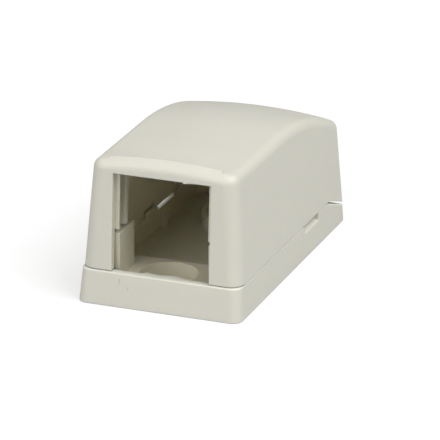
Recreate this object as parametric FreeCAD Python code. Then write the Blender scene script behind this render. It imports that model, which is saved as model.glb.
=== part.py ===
"""One-port surface mount jack box: a shallow moulded base and a hooded cover that clips on it.

Millimetres, +Z up.  The origin is in the middle of the footprint, on the surface that the box
stands on.  The window for the jack faces -Y and the plain rear faces +Y.  Places called PLACE or
START are measured from the footprint's front edge, and heights called TOP from the underside.
"""
import FreeCAD, Part
import math
import os

from FreeCAD import Vector

# ---- overall sizes -------------------------------------------------------------------------
LENGTH = 50.7            # footprint, front to rear
WIDTH = 27.6             # footprint, side to side
BASE_HEIGHT = 5.5        # underside to the level part of the rim that the cover sits on
COVER_TOP = 24.05        # underside to the highest line of the roof

# ---- mould drafts, in degrees from upright -------------------------------------------------
BASE_SIDE_DRAFT = 3.7
BASE_FRONT_DRAFT = 9.1
BASE_REAR_DRAFT = 1.6
COVER_SIDE_DRAFT = 4.3
COVER_FRONT_LEAN = 3.8
COVER_REAR_LEAN = 1.6

# ---- walls and corners ---------------------------------------------------------------------
BASE_WALL = 1.5
SILL_WALL = 1.35         # the base's front wall, which is the window's sill
FLOOR = 1.5
COVER_WALL = 1.25
BASE_CORNER = 1.7        # plan radius of the base's front corners
COVER_CORNER = 2.3       # plan radius of the cover's corners, and of the base's at the rear
LEAST_CORNER = 0.5       # of any inside corner in plan
FOOT_ROUND = 0.15
RIM_CHAMFER = 0.15
FRONT_LEDGE = 0.3        # how far the cover's front stands back from the base's rim

# ---- seam at the rear ----------------------------------------------------------------------
SLANT_LENGTH = 9.1       # rear end of the box over which the rim falls in a straight line
SLANT = 19.8             # degrees from level
SLANT_GAP = 0.45         # height of the slit between the slanting rim and the cover

# ---- roof ----------------------------------------------------------------------------------
ROOF_BREAK = 22.7        # from the footprint's front edge to where the roof starts to fall
ROOF_RADIUS = 62.2       # of the fall to the rear, seen from the side
CROWN_RADIUS = 83.0      # of the roof's arch, seen from the front
ROOF_ROUND = 1.65        # of the edge all round the roof

# ---- brow: the low raised lip over the window ----------------------------------------------
BROW_WIDTH = 19.0
BROW_FACET = 1.0         # length of its sloping top, which runs out of the roof's round
BROW_SLOPE = 26.0        # degrees from level

# ---- window and jack bay -------------------------------------------------------------------
WINDOW_WIDTH = 16.45
WINDOW_TOP = 21.6
BAY_WIDTH = 15.0         # between the cheeks, and between the cover's guide ribs
CHEEK_THICK = 1.0
CHEEK_LENGTH = 6.1
CHEEK_TOP = 11.4
CHEEK_GAP = 0.2          # between the cover's front wall and the cheeks
FRONT_GUIDE = 0.35       # how far the front guide rib stands behind the front wall
GUIDE_SLOT = 2.2         # between the front and the rear guide rib
GUIDE_THICK = 1.15
GUIDE_GAP = 0.65         # between the cheeks and the guide ribs above them
TONGUE_WIDTH = 6.8       # catch for the jack on the sill
TONGUE_REACH = 0.6

# ---- raised floor under the jack, and screw wells ------------------------------------------
BAY_FLOOR_TOP = 4.0
BAY_FLOOR_THICK = 1.2
WELL_PLACE = 7.2         # of the front screw
WELL_SHIFT = 0.9         # of both screws to the -X side
SCREW_SPACING = 30.0
WELL_BORE = 9.5
WELL_WALL = 0.9
SEAT_TOP = 1.8           # where the screw's head sits
SCREW_HOLE = 4.2

# ---- underside -----------------------------------------------------------------------------
PAD_MARGIN = 3.0         # rim left round the recess for the adhesive pad
PAD_DEPTH = 0.5
PAD_CORNER = 2.0

# ---- snaps ---------------------------------------------------------------------------------
SNAP_PLACE = 26.8        # of the snap's middle
SNAP_LENGTH = 4.5
SNAP_THICK = 0.45
SNAP_RISE = 0.85         # of the snap over the rim
SNAP_ROOT = 1.3          # of the snap on the wall's inside, below the rim
SNAP_GAP = 0.12          # between the snap and the cover's wall
SNAP_BITE = 0.2          # how far the hook reaches over the cover's catch
CATCH_TALL = 0.3         # of the wall under the pocket, which the hook holds
POCKET_GAP = 0.12        # round the hook in the cover's pocket

# ---- pry notches and inner bands -----------------------------------------------------------
NOTCH_START = 30.4
NOTCH_LENGTH = 6.9
NOTCH_DEPTH = 1.5        # on the outside of the wall
NOTCH_LIP = 0.6          # depth left on the inside of the wall
PROP_PLACE = 32.2        # of the middle of the prop on the wall under each notch
PROP_THICK = 1.2
PROP_TOP = 3.7
PROP_REACH = 0.8
BAND_START = 37.6        # shallow upright band inside each side wall
BAND_LENGTH = 5.1
BAND_THICK = 0.35

# ---- break-out for the cable in the rear wall ----------------------------------------------
BREAKOUT_WIDTH = 12.0
BREAKOUT_HEIGHT = 8.0
BREAKOUT_CORNER = 1.5
SCORE_WIDTH = 0.5
SCORE_DEPTH = 0.7

# ---- modelling clearances ------------------------------------------------------------------
OVER = 2.0               # how far cutting tools run past what they cut
SINK = 0.02              # how far a surface sinks into one that it would only touch
NEAR = 1e-3              # for telling edges apart by place


def slope(degrees):
    """Sideways run of a drafted wall for each millimetre of height."""
    return math.tan(math.radians(degrees))


# ---- derived places ------------------------------------------------------------------------
FRONT = -LENGTH / 2
REAR = LENGTH / 2
RIM_HALF = WIDTH / 2 - BASE_HEIGHT * slope(BASE_SIDE_DRAFT)
RIM_FRONT = FRONT + BASE_HEIGHT * slope(BASE_FRONT_DRAFT)
RIM_REAR = REAR - BASE_HEIGHT * slope(BASE_REAR_DRAFT)
SLANT_FRONT = REAR - SLANT_LENGTH
COVER_FRONT = RIM_FRONT + FRONT_LEDGE
CROWN_AXIS = COVER_TOP - CROWN_RADIUS
GUIDE_FOOT = CHEEK_TOP + GUIDE_GAP
CHEEK_FRONT = COVER_FRONT + COVER_WALL + (CHEEK_TOP - BASE_HEIGHT) * slope(COVER_FRONT_LEAN) + CHEEK_GAP
BAY_FLOOR_END = FRONT + WELL_PLACE + WELL_BORE / 2 + WELL_WALL


def rim_height(y):
    """Height of the base's rim at y: level, and then slanting down to the rear."""
    return BASE_HEIGHT - max(0.0, y - SLANT_FRONT) * slope(SLANT)


def cover_edge_height(y):
    """Height of the cover's lower edge at y: on the level rim, and over a slit at the slant."""
    return min(BASE_HEIGHT, rim_height(y) + SLANT_GAP)


def box(x0, x1, y0, y1, z0, z1):
    """Box between two corners."""
    return Part.makeBox(x1 - x0, y1 - y0, z1 - z0, Vector(x0, y0, z0))


def both_sides(shape):
    """The shape on the +X side and its mirror image on the -X side."""
    return [shape, shape.mirror(Vector(0, 0, 0), Vector(1, 0, 0))]


def drafted_block(low, high, front_corner, rear_corner):
    """Block with rounded upright edges between two plan outlines, each (half, front, rear, z)."""
    low_half, low_front, low_rear, low_z = low
    high_half, high_front, high_rear, high_z = high
    block = Part.makeWedge(-low_half, low_z, -low_rear, -high_rear, -high_half,
                           low_half, high_z, -low_front, -high_front, high_half)
    block.rotate(Vector(0, 0, 0), Vector(1, 0, 0), 90)
    uprights = [edge for edge in block.Edges if edge.BoundBox.ZLength > NEAR]
    middle = (low_front + low_rear) / 2
    rounded = block.makeFillet(front_corner, [edge for edge in uprights if edge.CenterOfMass.y < middle])
    uprights = [edge for edge in rounded.Edges
                if edge.BoundBox.ZLength > NEAR and edge.CenterOfMass.y > middle]
    return rounded.makeFillet(rear_corner, uprights)


def inner_corner(outer, inset):
    """Plan radius of a corner that lies inset within one of radius outer."""
    return max(outer - inset, LEAST_CORNER)


def prism_along_x(points, x0, x1):
    """Solid of a polygon of (y, z) points carried from x0 to x1."""
    corners = [Vector(x0, y, z) for y, z in points]
    return Part.Face(Part.makePolygon(corners + corners[:1])).extrude(Vector(x1 - x0, 0, 0))


def prism_along_y(points, y0, y1):
    """Solid of a polygon of (x, z) points carried from y0 to y1."""
    corners = [Vector(x, y0, z) for x, z in points]
    return Part.Face(Part.makePolygon(corners + corners[:1])).extrude(Vector(0, y1 - y0, 0))


def seam_cut(edge_height, start, toward):
    """Everything on one side of a seam that is level up to start and then slants to the rear."""
    y0 = FRONT - OVER
    y1 = REAR + OVER
    line = [(y0, edge_height(y0)), (start, edge_height(start)), (y1, edge_height(y1))]
    return prism_along_x(line + [(y1, toward), (y0, toward)], -WIDTH, WIDTH)


# ---- base ----------------------------------------------------------------------------------

def base_outline(z, inset=0.0, front_inset=0.0):
    """The base's plan outline at height z, moved in by inset, and at the front by front_inset."""
    half = WIDTH / 2 - z * slope(BASE_SIDE_DRAFT) - inset
    front = FRONT + z * slope(BASE_FRONT_DRAFT) + front_inset
    return half, front, REAR - z * slope(BASE_REAR_DRAFT) - inset, z


def rim_edges(block):
    """Edges round the top of the base's block, along its level and its slanting part."""
    found = []
    for edge in block.Edges:
        ends = [vertex.Point for vertex in edge.Vertexes]
        on_rim = all(abs(end.z - rim_height(end.y)) < NEAR for end in ends)
        across = edge.BoundBox.YLength < NEAR and abs(edge.CenterOfMass.y - SLANT_FRONT) < NEAR
        if on_rim and not across:
            found.append(edge)
    return found


def base_tray():
    """Open tray with drafted walls, a rounded foot and a finely chamfered rim."""
    outside = drafted_block(base_outline(0), base_outline(BASE_HEIGHT + OVER), BASE_CORNER, COVER_CORNER)
    outside = outside.cut(seam_cut(rim_height, SLANT_FRONT, BASE_HEIGHT + 2 * OVER))
    foot = [edge for edge in outside.Edges if edge.BoundBox.ZMax < NEAR]
    outside = outside.makeFillet(FOOT_ROUND, foot)
    outside = outside.makeChamfer(RIM_CHAMFER, rim_edges(outside))
    hollow = drafted_block(base_outline(FLOOR, BASE_WALL, SILL_WALL),
                           base_outline(BASE_HEIGHT + 2 * OVER, BASE_WALL, SILL_WALL),
                           inner_corner(BASE_CORNER, SILL_WALL), inner_corner(COVER_CORNER, BASE_WALL))
    return outside.cut(hollow)


def inside_the_walls():
    """Everything within the middle of the base's walls, which keeps added features inside them."""
    return drafted_block(base_outline(0, BASE_WALL / 2, SILL_WALL / 2),
                         base_outline(CHEEK_TOP + OVER, BASE_WALL / 2, SILL_WALL / 2),
                         inner_corner(BASE_CORNER, SILL_WALL / 2), inner_corner(COVER_CORNER, BASE_WALL / 2))


def cheek():
    """Upright plate that guides the jack on the +X side."""
    return box(BAY_WIDTH / 2, BAY_WIDTH / 2 + CHEEK_THICK, CHEEK_FRONT, CHEEK_FRONT + CHEEK_LENGTH,
               PAD_DEPTH, CHEEK_TOP)


def bay_floor():
    """Raised floor under the jack before it is hollowed from below, as wide as the cheeks."""
    half = BAY_WIDTH / 2 + CHEEK_THICK
    return box(-half, half, RIM_FRONT, BAY_FLOOR_END, PAD_DEPTH, BAY_FLOOR_TOP)


def bay_hollow():
    """Hollow under the raised floor, which leaves the front screw well standing."""
    half = BAY_WIDTH / 2
    hollow = box(-half, half, FRONT + PAD_MARGIN, BAY_FLOOR_END - BAY_FLOOR_THICK, -OVER,
                 BAY_FLOOR_TOP - BAY_FLOOR_THICK)
    return hollow.cut(well_tube(well_places()[0], -2 * OVER))


def sill_tongue():
    """Catch behind the sill for the front foot of the jack, with bevelled ends."""
    sill_back = RIM_FRONT + SILL_WALL
    half = TONGUE_WIDTH / 2
    tip = half - TONGUE_REACH
    outline = [(-half, RIM_FRONT + SILL_WALL / 2), (half, RIM_FRONT + SILL_WALL / 2), (half, sill_back),
               (tip, sill_back + TONGUE_REACH), (-tip, sill_back + TONGUE_REACH), (-half, sill_back)]
    corners = [Vector(x, y, BAY_FLOOR_TOP - BAY_FLOOR_THICK / 2) for x, y in outline]
    face = Part.Face(Part.makePolygon(corners + corners[:1]))
    return face.extrude(Vector(0, 0, BASE_HEIGHT - corners[0].z))


def well_places():
    """Y of the two screw wells, front first."""
    return [FRONT + WELL_PLACE, FRONT + WELL_PLACE + SCREW_SPACING]


def well_tube(y, z0=PAD_DEPTH):
    """Screw well before it is bored, from height z0."""
    return Part.makeCylinder(WELL_BORE / 2 + WELL_WALL, BAY_FLOOR_TOP - z0, Vector(-WELL_SHIFT, y, z0))


def well_bore(y):
    """Space for the screw's head and shank."""
    head = Part.makeCylinder(WELL_BORE / 2, BASE_HEIGHT - SEAT_TOP, Vector(-WELL_SHIFT, y, SEAT_TOP))
    shank = Part.makeCylinder(SCREW_HOLE / 2, SEAT_TOP + 2 * OVER, Vector(-WELL_SHIFT, y, -OVER))
    return head.fuse(shank)


def snap_span():
    """Y of the snap's two ends."""
    middle = FRONT + SNAP_PLACE
    return middle - SNAP_LENGTH / 2, middle + SNAP_LENGTH / 2


def cover_inner_half(z):
    """Half width of the cover's inside at height z."""
    return RIM_HALF - (z - BASE_HEIGHT) * slope(COVER_SIDE_DRAFT) - COVER_WALL


def snap():
    """Low snap on the +X wall's inside with the hook that holds the cover's catch."""
    y0, y1 = snap_span()
    top = BASE_HEIGHT + SNAP_RISE
    outer = cover_inner_half(top) - SNAP_GAP
    inner = outer - SNAP_THICK
    lead = SNAP_THICK * 2 / 3
    root = BASE_HEIGHT - SNAP_ROOT
    rim = BASE_HEIGHT - RIM_CHAMFER
    wall = RIM_HALF - BASE_WALL / 2
    blade = prism_along_y([(inner, root + SNAP_THICK), (inner, top - lead), (inner + lead, top), (outer, top),
                           (outer, rim), (wall, rim), (wall, root - SNAP_THICK)], y0, y1)
    under = BASE_HEIGHT + CATCH_TALL + POCKET_GAP
    tip = cover_inner_half(under) + SNAP_BITE
    middle = (inner + outer) / 2
    hook = prism_along_y([(middle, under), (tip, under), (outer, top), (middle, top)], y0, y1)
    return blade.fuse(hook)


def notch():
    """Cut for a screwdriver's blade in the rim on the +X side, with a floor that falls outward."""
    y0 = FRONT + NOTCH_START
    outer = BASE_HEIGHT - NOTCH_DEPTH
    inner = BASE_HEIGHT - NOTCH_LIP
    fall = (inner - outer) / BASE_WALL
    floor = [(RIM_HALF - BASE_WALL - OVER, inner + fall * OVER), (WIDTH / 2 + OVER, outer - fall * OVER)]
    roof = [(WIDTH / 2 + OVER, BASE_HEIGHT + OVER), (RIM_HALF - BASE_WALL - OVER, BASE_HEIGHT + OVER)]
    return prism_along_y(floor + roof, y0, y0 + NOTCH_LENGTH)


def notch_prop():
    """Small prop against the wall under the +X notch."""
    y0 = FRONT + PROP_PLACE - PROP_THICK / 2
    wall = RIM_HALF - BASE_WALL
    return box(wall - PROP_REACH, wall + BASE_WALL / 2, y0, y0 + PROP_THICK, PAD_DEPTH, PROP_TOP)


def pad_recess():
    """Recess in the underside for an adhesive pad."""
    outline = (WIDTH / 2 - PAD_MARGIN, FRONT + PAD_MARGIN, REAR - PAD_MARGIN)
    return drafted_block((*outline, -OVER), (*outline, PAD_DEPTH), PAD_CORNER, PAD_CORNER)


def make_base():
    """The moulded base, one solid."""
    within = inside_the_walls()
    added = [bay_floor(), sill_tongue()] + [well_tube(y) for y in well_places()]
    for part in (cheek(), notch_prop()):
        added += both_sides(part)
    kept = [part.common(within) for part in added]
    base = base_tray().fuse(kept + both_sides(snap()))
    removed = [pad_recess(), bay_hollow()] + [well_bore(y) for y in well_places()] + both_sides(notch())
    return base.cut(removed).removeSplitter()


# ---- cover ---------------------------------------------------------------------------------

def cover_outline(z, inset):
    """The cover's plan outline at height z, moved in by inset all round."""
    rise = z - BASE_HEIGHT
    half = RIM_HALF - rise * slope(COVER_SIDE_DRAFT) - inset
    front = COVER_FRONT + rise * slope(COVER_FRONT_LEAN) + inset
    rear = RIM_REAR - rise * slope(COVER_REAR_LEAN) - inset
    return half, front, rear, z


def within_cover(inset):
    """Everything inside the cover's walls when those are moved in by inset."""
    corner = inner_corner(COVER_CORNER, inset)
    return drafted_block(cover_outline(0, inset), cover_outline(COVER_TOP + OVER, inset), corner, corner)


def turned_about_crown(face, reach):
    """Solid of a face at x = 0 turned about the crown's axis, to at least reach on both sides."""
    half_angle = math.degrees(math.asin(reach / -CROWN_AXIS))
    centre = Vector(0, 0, CROWN_AXIS)
    start = face.copy()
    start.rotate(centre, Vector(0, 1, 0), -half_angle)
    return start.revolve(centre, Vector(0, 1, 0), 2 * half_angle)


def roof_fall(y, radius):
    """How much lower than its highest line the roof is at y."""
    past = max(0.0, y - FRONT - ROOF_BREAK)
    return radius - math.sqrt(radius ** 2 - past ** 2)


def under_roof(inset):
    """Everything under the roof when that is lowered by inset.

    The side profile, level and then an arc that falls to the rear, is turned about an axis far
    below the box, which gives the roof its arch from side to side.
    """
    top = COVER_TOP - inset
    radius = ROOF_RADIUS - inset
    front = FRONT - OVER
    start = FRONT + ROOF_BREAK
    rear = REAR + OVER
    middle = (start + rear) / 2
    low = -OVER
    break_point = Vector(0, start, top)
    arc_middle = Vector(0, middle, top - roof_fall(middle, radius))
    arc_end = Vector(0, rear, top - roof_fall(rear, radius))
    edges = [Part.makeLine(Vector(0, front, low), Vector(0, front, top)),
             Part.makeLine(Vector(0, front, top), break_point),
             Part.Arc(break_point, arc_middle, arc_end).toShape(),
             Part.makeLine(arc_end, Vector(0, rear, low)),
             Part.makeLine(Vector(0, rear, low), Vector(0, front, low))]
    return turned_about_crown(Part.Face(Part.Wire(edges)), WIDTH / 2 + OVER)


def roof_edges(block):
    """Edges where the roof meets the walls, all round."""
    start = FRONT + ROOF_BREAK
    found = []
    for edge in block.Edges:
        at = edge.valueAt((edge.FirstParameter + edge.LastParameter) / 2)
        across = abs(at.y - start) < NEAR and edge.BoundBox.YLength < NEAR
        from_axis = math.hypot(at.x, at.z - CROWN_AXIS)
        on_roof = abs(from_axis - CROWN_RADIUS + roof_fall(at.y, ROOF_RADIUS)) < NEAR
        if on_roof and not across:
            found.append(edge)
    return found


def under_seam():
    """Everything below the cover's lower edge."""
    start = SLANT_FRONT + SLANT_GAP / slope(SLANT)
    return seam_cut(cover_edge_height, start, -2 * OVER)


def cover_block():
    """The cover's outside as a solid block with the edge of its roof rounded."""
    block = within_cover(0).common(under_roof(0))
    return block.makeFillet(ROOF_ROUND, roof_edges(block))


def cover_hollow():
    """The space inside the cover."""
    return within_cover(COVER_WALL).common(under_roof(COVER_WALL))


def brow():
    """Raised lip over the window: a short slope out of the roof's round, with a crisp edge behind."""
    lean = slope(COVER_FRONT_LEAN)
    tilt = math.radians(BROW_SLOPE)
    centre_z = COVER_TOP - ROOF_ROUND
    centre_y = COVER_FRONT + (centre_z - BASE_HEIGHT) * lean + ROOF_ROUND * math.hypot(1, lean)
    toe = Vector(0, centre_y - ROOF_ROUND * math.sin(tilt), centre_z + ROOF_ROUND * math.cos(tilt) - SINK)
    edge = toe + Vector(0, math.cos(tilt), math.sin(tilt)) * BROW_FACET
    foot = COVER_TOP - COVER_WALL / 2
    corners = [edge, toe, Vector(0, toe.y, foot), Vector(0, edge.y, foot), edge]
    lip = turned_about_crown(Part.Face(Part.makePolygon(corners)), WIDTH / 2)
    return lip.common(box(-BROW_WIDTH / 2, BROW_WIDTH / 2, FRONT, edge.y + OVER, 0, COVER_TOP + OVER))


def window():
    """Cut for the jack's window, open at the bottom."""
    depth = (WINDOW_TOP - BASE_HEIGHT) * slope(COVER_FRONT_LEAN) + COVER_WALL
    return box(-WINDOW_WIDTH / 2, WINDOW_WIDTH / 2, COVER_FRONT - OVER, COVER_FRONT + depth + OVER,
               -OVER, WINDOW_TOP)


def guide_rib(hollow, near, far):
    """Rib on the +X side that leans with the front wall, from near to far behind its inside."""
    def wall(z):
        return COVER_FRONT + COVER_WALL + (z - BASE_HEIGHT) * slope(COVER_FRONT_LEAN)
    side = [(wall(GUIDE_FOOT) + near, GUIDE_FOOT), (wall(GUIDE_FOOT) + far, GUIDE_FOOT),
            (wall(COVER_TOP) + far, COVER_TOP), (wall(COVER_TOP) + near, COVER_TOP)]
    return prism_along_x(side, BAY_WIDTH / 2, WIDTH / 2).common(hollow)


def guide_ribs(hollow):
    """The two ribs on the +X side that carry the jack's bay up from the cheek to the roof."""
    start = FRONT_GUIDE + GUIDE_SLOT
    return [guide_rib(hollow, -COVER_WALL, FRONT_GUIDE), guide_rib(hollow, start, start + GUIDE_THICK)]


def wall_band(hollow):
    """Shallow upright band on the inside of the +X wall, near the rear."""
    y0 = FRONT + BAND_START
    place = box(0, WIDTH / 2, y0, y0 + BAND_LENGTH, BASE_HEIGHT + NOTCH_DEPTH, COVER_TOP)
    return hollow.common(place).cut(within_cover(COVER_WALL + BAND_THICK))


def catch_pocket():
    """Pocket in the inside of the +X wall for the snap's hook, with the catch below it."""
    y0, y1 = snap_span()
    z0 = BASE_HEIGHT + CATCH_TALL
    inner = cover_inner_half(z0)
    return box(inner - OVER, inner + SNAP_BITE + POCKET_GAP, y0 - POCKET_GAP, y1 + POCKET_GAP,
               z0, BASE_HEIGHT + SNAP_RISE + 2 * POCKET_GAP)


def breakout_arch(inset):
    """Block with rounded shoulders for one side of the break-out's groove."""
    half = BREAKOUT_WIDTH / 2 - inset
    top = cover_edge_height(REAR) + BREAKOUT_HEIGHT - inset
    block = box(-half, half, RIM_REAR - SCORE_DEPTH, RIM_REAR + OVER, -OVER, top)
    shoulders = [edge for edge in block.Edges
                 if edge.BoundBox.ZMin > top - NEAR and edge.BoundBox.XLength < NEAR]
    return block.makeFillet(BREAKOUT_CORNER - inset, shoulders)


def breakout_groove():
    """Groove in the rear face round the panel that is broken out for the cable."""
    groove = breakout_arch(0).cut(breakout_arch(SCORE_WIDTH))
    groove.rotate(Vector(0, RIM_REAR, BASE_HEIGHT), Vector(1, 0, 0), COVER_REAR_LEAN)
    return groove


def make_cover():
    """The moulded cover, one solid."""
    hollow = cover_hollow()
    shell = cover_block().fuse(brow()).cut(hollow).cut(window())
    added = []
    for part in guide_ribs(hollow) + [wall_band(hollow)]:
        added += both_sides(part)
    removed = [under_seam(), breakout_groove()] + both_sides(catch_pocket())
    return shell.fuse(added).cut(removed).removeSplitter()


def main():
    """Build both mouldings and write one STEP file for each."""
    os.makedirs("parts", exist_ok=True)
    for name, shape in (("base", make_base()), ("cover", make_cover())):
        print(name, len(shape.Solids), "solid", "valid" if shape.isValid() else "not valid",
              round(shape.Volume, 1), "mm3", len(shape.Faces), "faces", shape.BoundBox)
        shape.Solids[0].exportStep("parts/" + name + ".step")


main()
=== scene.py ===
"""Looks of a one-jack surface mount box: a moulded base and the hooded cover that clips on it.

Metres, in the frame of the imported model: the origin is in the middle of the footprint, +Z is up
and the jack's window faces -Y.
"""
import logging
import math
from dataclasses import dataclass
from enum import Enum
from typing import ClassVar

import bpy
import numpy as np
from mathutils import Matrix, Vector


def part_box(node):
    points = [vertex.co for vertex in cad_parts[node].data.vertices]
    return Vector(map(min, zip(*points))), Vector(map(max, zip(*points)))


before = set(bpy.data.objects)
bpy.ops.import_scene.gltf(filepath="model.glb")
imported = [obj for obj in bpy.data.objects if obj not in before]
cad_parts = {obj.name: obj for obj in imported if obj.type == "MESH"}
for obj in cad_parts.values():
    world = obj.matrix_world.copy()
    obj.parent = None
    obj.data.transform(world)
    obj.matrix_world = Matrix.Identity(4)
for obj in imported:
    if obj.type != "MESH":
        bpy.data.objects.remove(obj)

LOG = logging.getLogger("jack_box")
MM = 0.001
WHITE = (1.0, 1.0, 1.0, 1.0)
NOISE_MIDDLE = 0.5
MIX_BELOW, MIX_ABOVE, MIX_RESULT = 6, 7, 2  # a Mix node's colour sockets

Colour = tuple[float, float, float]
Band = tuple[float, float]  # where a mask starts to rise and where it is whole


class Sock:
    """A shader socket whose arithmetic adds Math nodes to its tree."""

    def __init__(self, tree: bpy.types.NodeTree, socket: bpy.types.NodeSocket) -> None:
        """Keeps the tree and the output socket.

        Args:
            tree: the node tree that the socket belongs to.
            socket: the output socket that carries the value.
        """
        self.tree = tree
        self.socket = socket

    def _math(self, operation: str, first: "Sock | float", second: "Sock | float") -> "Sock":
        """Adds one Math node.

        Args:
            operation: the node's operation.
            first: its first value, a socket or a number.
            second: its second value, a socket or a number.

        Returns:
            The node's result.
        """
        node = self.tree.nodes.new("ShaderNodeMath")
        node.operation = operation
        for place, value in enumerate((first, second)):
            if isinstance(value, Sock):
                self.tree.links.new(value.socket, node.inputs[place])
            else:
                node.inputs[place].default_value = float(value)
        return Sock(self.tree, node.outputs[0])

    def __add__(self, other: "Sock | float") -> "Sock":
        """self + other."""
        return self._math("ADD", self, other)

    def __radd__(self, other: float) -> "Sock":
        """other + self."""
        return self._math("ADD", other, self)

    def __sub__(self, other: "Sock | float") -> "Sock":
        """self - other."""
        return self._math("SUBTRACT", self, other)

    def __rsub__(self, other: float) -> "Sock":
        """other - self."""
        return self._math("SUBTRACT", other, self)

    def __mul__(self, other: "Sock | float") -> "Sock":
        """self * other."""
        return self._math("MULTIPLY", self, other)

    def __rmul__(self, other: float) -> "Sock":
        """other * self."""
        return self._math("MULTIPLY", other, self)

    def __abs__(self) -> "Sock":
        """Size of self without its sign."""
        return self._math("ABSOLUTE", self, 0.0)

    def __or__(self, other: "Sock | float") -> "Sock":
        """The larger of self and other, which joins two masks."""
        return self._math("MAXIMUM", self, other)


class Shader:
    """Builds one material's node tree."""

    def __init__(self, name: str) -> None:
        """Starts an empty tree with an output node.

        Args:
            name: the material's name.
        """
        self.material = bpy.data.materials.new(name)
        self.material.use_nodes = True
        self.tree = self.material.node_tree
        self.tree.nodes.clear()
        self.output = self.tree.nodes.new("ShaderNodeOutputMaterial")

    def node(self, kind: str, settings: dict[str, object] | None = None,
             **values: object) -> bpy.types.Node:
        """Adds a node, sets it up, then feeds its sockets.

        Args:
            kind: the node's type without the ShaderNode prefix.
            settings: the node's own properties, set before the sockets.
            **values: socket names, with spaces as underscores, and their numbers, colours or
                links.

        Returns:
            The node.
        """
        made = self.tree.nodes.new("ShaderNode" + kind)
        for key, value in (settings or {}).items():
            setattr(made, key, value)
        for key, value in values.items():
            target = made.inputs[key.replace("_", " ")]
            if isinstance(value, Sock):
                self.tree.links.new(value.socket, target)
            else:
                target.default_value = value
        return made

    def out(self, node: bpy.types.Node, name: str | int = 0) -> Sock:
        """One output of a node as a value."""
        return Sock(self.tree, node.outputs[name])

    def step(self, value: Sock, low: float, high: float) -> Sock:
        """Mask that rises smoothly from 0 where value is low to 1 where it is high."""
        ramp = self.node("MapRange", {"interpolation_type": "SMOOTHSTEP"}, Value=value,
                         From_Min=low, From_Max=high)
        return self.out(ramp)

    def axes(self, vector: Sock) -> tuple[Sock, Sock, Sock]:
        """The x, y and z of a vector."""
        node = self.node("SeparateXYZ", None, Vector=vector)
        return self.out(node, "X"), self.out(node, "Y"), self.out(node, "Z")

    def noise(self, place: Sock, scale: float, detail: float = 2.0) -> Sock:
        """Noise from 0 to 1 with that many cells for each metre."""
        node = self.node("TexNoise", None, Vector=place, Scale=scale, Detail=detail)
        return self.out(node, "Fac")

    def mix(self, mask: Sock, below: Sock | Colour, above: Sock | Colour) -> Sock:
        """Mixes two colours.

        Args:
            mask: how much of the second colour there is, from 0 to 1.
            below: the colour where the mask is 0.
            above: the colour where the mask is 1.

        Returns:
            The mixed colour.
        """
        node = self.node("Mix", {"data_type": "RGBA"})
        self.tree.links.new(mask.socket, node.inputs["Factor"])
        for place, colour in ((MIX_BELOW, below), (MIX_ABOVE, above)):
            if isinstance(colour, Sock):
                self.tree.links.new(colour.socket, node.inputs[place])
            else:
                node.inputs[place].default_value = (*colour, 1.0)
        return self.out(node, MIX_RESULT)

    def finish(self, surface: bpy.types.Node) -> bpy.types.Material:
        """Links the surface to the output and gives back the material."""
        self.tree.links.new(surface.outputs[0], self.output.inputs["Surface"])
        return self.material


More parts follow.
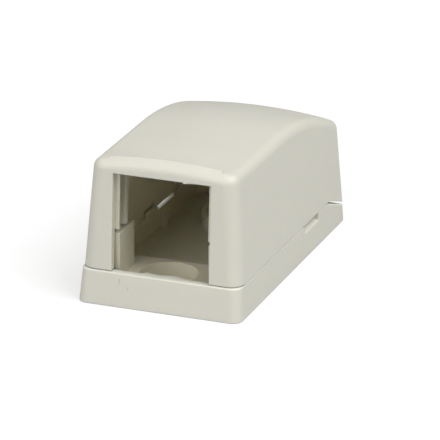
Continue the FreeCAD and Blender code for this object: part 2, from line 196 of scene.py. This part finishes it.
@dataclass(frozen=True)
class Cavity:
    """Space inside the drafted walls, told from the outside by planes a little inside the walls.

    The slant of the rim, the side walls' draft and the front wall's lean are in degrees.
    """

    WALL_SHARE: ClassVar[float] = 0.85  # of a side or rear wall that lies outside its plane
    FRONT_SHARE: ClassVar[float] = 0.25  # of the front wall that lies outside its plane

    half_width: float
    front: float
    rear: float
    seam: float
    slant_front: float
    slant: float = 19.8
    side_draft: float = 4.3
    front_lean: float = 3.8
    entry: float = 0.5 * MM
    depth: float = 18.0 * MM
    blend: float = 0.4 * MM
    lid: Band = (13.0 * MM, 13.4 * MM)
    roof_facing: Band = (0.1, 0.4)
    sill_facing: Band = (0.8, 0.95)
    sill_height: Band = (0.1 * MM, 0.2 * MM)
    sill_depth: Band = (1.95 * MM, 2.34 * MM)

    @classmethod
    def inside(cls, low: Vector, high: Vector, seam: float, slant_length: float,
               wall: float) -> "Cavity":
        """Cavity of the cover.

        Args:
            low: the cover's lowest corner.
            high: its highest corner.
            seam: height of the cover's edge on the base.
            slant_length: rear end over which the seam falls.
            wall: how thick its walls are.

        Returns:
            The cavity, with its planes inside the walls.
        """
        inset = cls.WALL_SHARE * wall
        return cls(half_width=high.x - inset, front=low.y + cls.FRONT_SHARE * wall,
                   rear=high.y - inset, seam=seam, slant_front=high.y - slant_length)

    def mask(self, shader: Shader, place: Sock, facing: Sock) -> Sock:
        """Mask of the faces inside the box, which carry painted light and shade.

        Args:
            shader: the material's tree.
            place: the place on the surface.
            facing: the surface's normal.

        Returns:
            0 on the outside, the foot and the sill, and 1 on the faces behind the window.
        """
        z = shader.axes(place)[2]
        up = shader.axes(facing)[2]
        roof = shader.step(up, *self.roof_facing) * shader.step(z, *self.lid)
        inside = self.wall_mask(shader, place) * shader.step(z, self.blend, 2 * self.blend)
        return inside * (1.0 - (roof | self.sill_mask(shader, place, up)))

    def sill_mask(self, shader: Shader, place: Sock, up: Sock) -> Sock:
        """Mask of the level top of the sill and its tongue.

        Args:
            shader: the material's tree.
            place: the place on the surface.
            up: how far the surface faces upwards.

        Returns:
            1 on that top, and 0 elsewhere.
        """
        _, y, z = shader.axes(place)
        level = 1.0 - shader.step(abs(z - self.seam), *self.sill_height)
        near = 1.0 - shader.step(y - self.front, *self.sill_depth)
        return shader.step(up, *self.sill_facing) * level * near

    def wall_mask(self, shader: Shader, place: Sock) -> Sock:
        """Mask of the space between the planes in the four walls, whatever the height.

        Args:
            shader: the material's tree.
            place: the place on the surface.

        Returns:
            0 outside the planes, and 1 between them.
        """
        x, y, z = shader.axes(place)
        rise = z - self.seam
        side = self.half_width - abs(x) - rise * math.tan(math.radians(self.side_draft))
        front = y - self.front - rise * math.tan(math.radians(self.front_lean))
        across = (shader.step(side, 0.0, self.blend)
                  * shader.step(self.rear - y, 0.0, self.blend))
        return across * shader.step(front, 0.0, self.entry)

    def rim_height(self, shader: Shader, place: Sock) -> Sock:
        """Height of the base's rim: level at first, and falling in a straight line at the rear."""
        beyond = (shader.axes(place)[1] - self.slant_front) | 0.0
        return self.seam - beyond * math.tan(math.radians(self.slant))

    def painted_light_depth_mask(self, shader: Shader, place: Sock) -> Sock:
        """Mask of the painted light inside: 0 just behind the window, rising to 1 where light comes
        only through the walls.
        """
        return shader.step(shader.axes(place)[1] - self.front, self.entry, self.depth)


@dataclass(frozen=True)
class MouldedPlastic:
    """Warm off-white moulded plastic with a fine texture from the mould, and with painted light and
    shade on the faces inside the box.
    """

    name: str
    cavity: Cavity
    colour: Colour = (0.720, 0.708, 0.622)
    # The inside faces are painted: a darker, warmer colour just behind the window is painted shade,
    # and a paler warm colour deeper in is painted light from inter-reflection.
    entry_painted_shade_colour: Colour = (0.68, 0.655, 0.53)
    deep_painted_light_colour: Colour = (0.84, 0.808, 0.655)
    drift_cells: float = 160.0
    mottle: float = 0.02
    grain_cells: float = 5200.0
    grain_detail: float = 3.0
    roughness: float = 0.40
    grain_roughness: float = 0.12
    drift_roughness: float = 0.08
    texture_depth: float = 0.018 * MM
    texture_strength: float = 0.35
    softened_edge: float = 0.16 * MM
    edge_samples: int = 6
    bending: float = 1.49
    glow: float = 0.35
    reach: tuple[float, float, float] = (1.2, 1.0, 0.55)

    def material(self) -> bpy.types.Material:
        """Builds the material.

        Returns:
            A Principled surface whose colour drifts a little, over areas of a few millimetres, and
            whose roughness and bump follow the mould's fine texture; its inside faces carry painted
            light and shade.
        """
        shader = Shader(self.name)
        texture = shader.node("TexCoord")
        place = shader.out(texture, "Object")
        drift = shader.noise(place, self.drift_cells)
        cells = shader.noise(place, self.grain_cells, self.grain_detail)
        # Painted light and shade inside the box: inside faces go from the painted shade colour
        # behind the window to the painted light colour deeper in.
        inside = self.cavity.mask(shader, place, shader.out(texture, "Normal"))
        painted_light_depth = self.cavity.painted_light_depth_mask(shader, place)
        painted_interior_light = shader.mix(painted_light_depth, self.entry_painted_shade_colour, self.deep_painted_light_colour)
        colour = shader.mix(inside, self.tone(shader, drift, self.colour), painted_interior_light)
        rough = (self.roughness + (cells - NOISE_MIDDLE) * self.grain_roughness
                 + (drift - NOISE_MIDDLE) * self.drift_roughness)
        edge = shader.node("Bevel", {"samples": self.edge_samples}, Radius=self.softened_edge)
        bump = shader.node("Bump", None, Strength=self.texture_strength,
                           Distance=self.texture_depth, Height=cells, Normal=shader.out(edge))
        surface = shader.node("BsdfPrincipled", None, Base_Color=self.marks_and_painted_light(shader, place, colour),
                              Roughness=rough, Normal=shader.out(bump), IOR=self.bending,
                              Subsurface_Weight=self.glow, Subsurface_Radius=self.reach,
                              Subsurface_Scale=MM)
        return shader.finish(surface)

    def tone(self, shader: Shader, drift: Sock, colour: Colour) -> Sock:
        """Lets a colour drift a little darker and paler.

        Args:
            shader: the material's tree.
            drift: noise from 0 to 1.
            colour: the colour in the middle of the drift.

        Returns:
            The drifting colour.
        """
        dark = tuple(c * (1.0 - self.mottle) for c in colour)
        pale = tuple(min(1.0, c * (1.0 + self.mottle)) for c in colour)
        return shader.mix(drift, dark, pale)

    def marks_and_painted_light(self, shader: Shader, place: Sock, colour: Sock) -> Sock:
        """Colour with this moulding's own marks and its painted light and shade on it."""
        raise NotImplementedError


@dataclass(frozen=True)
class Nick:
    """Short faint stroke that something left on the base's front."""

    x: float
    z: float
    half_width: float
    half_height: float
    weight: float
    fade: Band = (0.2, 1.0)

    def mask(self, shader: Shader, x: Sock, z: Sock) -> Sock:
        """Soft ellipse round the stroke's middle.

        Args:
            shader: the material's tree.
            x: place across the base's front.
            z: height on it.

        Returns:
            A mask from 0 outside the ellipse to the stroke's weight inside it.
        """
        across = (x - self.x) * (1.0 / self.half_width)
        along = (z - self.z) * (1.0 / self.half_height)
        return (1.0 - shader.step(across * across + along * along, *self.fade)) * self.weight


@dataclass(frozen=True)
class BasePlastic(MouldedPlastic):
    """The base's plastic, with a painted highlight on the chamfer of its rim and faint nicks on its
    front.
    """

    nicks: tuple[Nick, ...] = ()
    nick_colour: Colour = (0.40, 0.40, 0.33)
    # Painted highlight: the chamfer along the rim's top edge is painted paler, as if it caught the
    # light.
    rim_painted_highlight_colour: Colour = (0.81, 0.80, 0.705)
    rim_highlight_band: Band = (0.14 * MM, 0.2 * MM)

    def marks_and_painted_light(self, shader: Shader, place: Sock, colour: Sock) -> Sock:
        """Colour with the nicks, and with a painted highlight on the chamfer of the rim.

        Args:
            shader: the material's tree.
            place: the place on the surface.
            colour: the plastic's colour there.

        Returns:
            The colour with the chamfer's painted highlight and each nick mixed in.
        """
        x, y, z = shader.axes(place)
        # Painted highlight on the rim's chamfer, outside the walls.
        below_rim = self.cavity.rim_height(shader, place) - z
        rim_highlight = 1.0 - shader.step(below_rim, *self.rim_highlight_band)
        outside = 1.0 - self.cavity.wall_mask(shader, place)
        colour = shader.mix(rim_highlight * outside, colour, self.rim_painted_highlight_colour)
        front = 1.0 - shader.step(y - self.cavity.front, 0.0, self.cavity.blend)
        for nick in self.nicks:
            colour = shader.mix(nick.mask(shader, x, z) * front, colour, self.nick_colour)
        return colour


@dataclass(frozen=True)
class CoverPlastic(MouldedPlastic):
    """The cover's plastic, with a fine line of painted shade where its front edge meets the base.
    """

    # Painted shade: a dark line painted along the front's lower edge, where the gap at the base's
    # rim would be in shadow.
    seam_shade_height: Band = (0.09 * MM, 0.225 * MM)
    seam_shade_reach: Band = (0.9 * MM, 3.0 * MM)
    seam_painted_shade_colour: Colour = (0.16, 0.15, 0.11)
    seam_shade_weight: float = 0.8

    def marks_and_painted_light(self, shader: Shader, place: Sock, colour: Sock) -> Sock:
        """Colour with the painted shade line along the lower edge of the front and its corners.

        Args:
            shader: the material's tree.
            place: the place on the surface.
            colour: the plastic's colour there.

        Returns:
            The colour with the line mixed in.
        """
        _, y, z = shader.axes(place)
        # Painted shade in the seam between the cover's front and the base.
        low = 1.0 - shader.step(z - self.cavity.seam, *self.seam_shade_height)
        front = 1.0 - shader.step(y - self.cavity.front, *self.seam_shade_reach)
        return shader.mix(low * front * self.seam_shade_weight, colour, self.seam_painted_shade_colour)


@dataclass(frozen=True)
class StudioFloor:
    """Plain white floor that keeps the object's soft shadow."""

    span: float = 3.0
    colour: Colour = (0.50, 0.50, 0.50)
    lift: float = 0.57
    drop: float = 0.02 * MM

    def build(self) -> bpy.types.Object:
        """Makes the floor.

        Returns:
            A square just under the box's foot, so that their faces don't share a plane.
        """
        corners = np.array([[-1, -1], [1, -1], [1, 1], [-1, 1]], float) * self.span / 2
        points = np.column_stack([corners, np.full(len(corners), -self.drop)])
        mesh = bpy.data.meshes.new("floor")
        mesh.from_pydata(points.tolist(), [], [(0, 1, 2, 3)])
        floor = bpy.data.objects.new("floor", mesh)
        bpy.context.scene.collection.objects.link(floor)
        mesh.materials.append(self.material())
        return floor

    def material(self) -> bpy.types.Material:
        """Builds the floor's finish.

        Returns:
            A matt surface that the camera sees a little brighter than its light makes it.
        """
        shader = Shader("studio_floor")
        seen = shader.out(shader.node("LightPath"), "Is Camera Ray")
        surface = shader.node("BsdfPrincipled", None, Base_Color=(*self.colour, 1.0),
                              Roughness=1.0, Specular_IOR_Level=0.0, Emission_Color=WHITE,
                              Emission_Strength=seen * self.lift)
        return shader.finish(surface)


@dataclass(frozen=True)
class Stand:
    """Place from which a lamp or the camera looks at the box.

    The azimuth runs from the window's side towards +X and the elevation from level, in degrees.
    """

    target: Vector
    azimuth: float
    elevation: float
    distance: float

    def hold(self, thing: bpy.types.Object) -> None:
        """Puts a lamp or camera in its place, turned to the target, and into the scene.

        Args:
            thing: the lamp's or the camera's object.
        """
        a, e = math.radians(self.azimuth), math.radians(self.elevation)
        away = Vector((math.sin(a) * math.cos(e), -math.cos(a) * math.cos(e), math.sin(e)))
        thing.location = self.target + away * self.distance
        thing.rotation_mode = "QUATERNION"
        thing.rotation_quaternion = away.to_track_quat("Z", "Y")
        bpy.context.scene.collection.objects.link(thing)


@dataclass(frozen=True)
class Lamp:
    """A soft square studio lamp that points at the box."""

    name: str
    azimuth: float
    elevation: float
    power: float
    distance: float = 0.9
    size: float = 0.8

    def build(self, target: Vector) -> None:
        """Makes the lamp.

        Args:
            target: the point that it shines at.
        """
        light = bpy.data.lights.new(self.name, "AREA")
        light.shape = "SQUARE"
        light.size = self.size
        light.energy = self.power
        lamp = bpy.data.objects.new(self.name, light)
        Stand(target, self.azimuth, self.elevation, self.distance).hold(lamp)


@dataclass(frozen=True)
class Studio:
    """White surroundings, two lamps and the camera."""

    target: Vector = Vector((2.89 * MM, -5.35 * MM, 8.94 * MM))
    azimuth: float = 21.02
    elevation: float = 21.03
    distance: float = 0.641
    lens: float = 327.3
    sensor: float = 36.0
    clip: tuple[float, float] = (0.01, 20.0)
    sky: float = 0.27
    lamps: tuple[Lamp, ...] = (
        Lamp("key", azimuth=-20.0, elevation=30.0, power=3.6),
        Lamp("side", azimuth=80.0, elevation=55.0, power=7.1),
    )

    def build(self) -> None:
        """Makes the world, the lamps and the camera."""
        self.world()
        for lamp in self.lamps:
            lamp.build(self.target)
        self.camera()
        bpy.context.scene.view_settings.view_transform = "Standard"
        LOG.info("studio built with %d lamps", len(self.lamps))

    def world(self) -> None:
        """World that lights the box evenly and that the camera sees as white."""
        world = bpy.data.worlds.new("studio")
        world.use_nodes = True
        tree = world.node_tree
        back = tree.nodes["Background"]
        path = tree.nodes.new("ShaderNodeLightPath")
        seen = Sock(tree, path.outputs["Is Camera Ray"])
        level = self.sky + seen * (1.0 - self.sky)
        tree.links.new(level.socket, back.inputs["Strength"])
        back.inputs["Color"].default_value = WHITE
        bpy.context.scene.world = world

    def camera(self) -> None:
        """Camera that looks down at the window's side from the right."""
        data = bpy.data.cameras.new("camera")
        data.lens = self.lens
        data.sensor_width = self.sensor
        data.clip_start, data.clip_end = self.clip
        camera = bpy.data.objects.new("camera", data)
        Stand(self.target, self.azimuth, self.elevation, self.distance).hold(camera)
        bpy.context.scene.camera = camera


class Moulding(Enum):
    """The two mouldings, each under its node's name."""

    BASE = "base"
    COVER = "cover"


@dataclass(frozen=True)
class JackBox:
    """The box's two mouldings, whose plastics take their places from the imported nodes."""

    seam: float = 5.5 * MM
    slant_length: float = 9.0 * MM
    wall: float = 1.25 * MM

    def dress(self) -> None:
        """Gives each moulding its plastic."""
        cover_low, cover_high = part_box("cover")
        cavity = Cavity.inside(cover_low, cover_high, self.seam, self.slant_length, self.wall)
        base_low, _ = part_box("base")
        finishes = {
            Moulding.BASE: BasePlastic("base_plastic", cavity, nicks=self.nicks(base_low.x)),
            Moulding.COVER: CoverPlastic("cover_plastic", cavity),
        }
        for moulding, finish in finishes.items():
            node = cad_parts[moulding.value]
            node.data.materials.clear()
            node.data.materials.append(finish.material())
            LOG.info("%s dressed", moulding.value)

    def nicks(self, left: float) -> tuple[Nick, ...]:
        """Places the nicks on the base's front.

        Args:
            left: the front's left end.

        Returns:
            An upright stroke and a spot.
        """
        upright = Nick(x=left + 7.15 * MM, z=4.25 * MM, half_width=0.14 * MM,
                       half_height=0.55 * MM, weight=0.5)
        spot = Nick(x=left + 8.6 * MM, z=3.1 * MM, half_width=0.25 * MM,
                    half_height=0.3 * MM, weight=0.3)
        return upright, spot


def main() -> None:
    """Dresses the two mouldings and sets up the studio."""
    logging.basicConfig(level=logging.INFO, format="%(name)s: %(message)s")
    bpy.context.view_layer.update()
    JackBox().dress()
    StudioFloor().build()
    Studio().build()


if __name__ == "__main__":
    main()
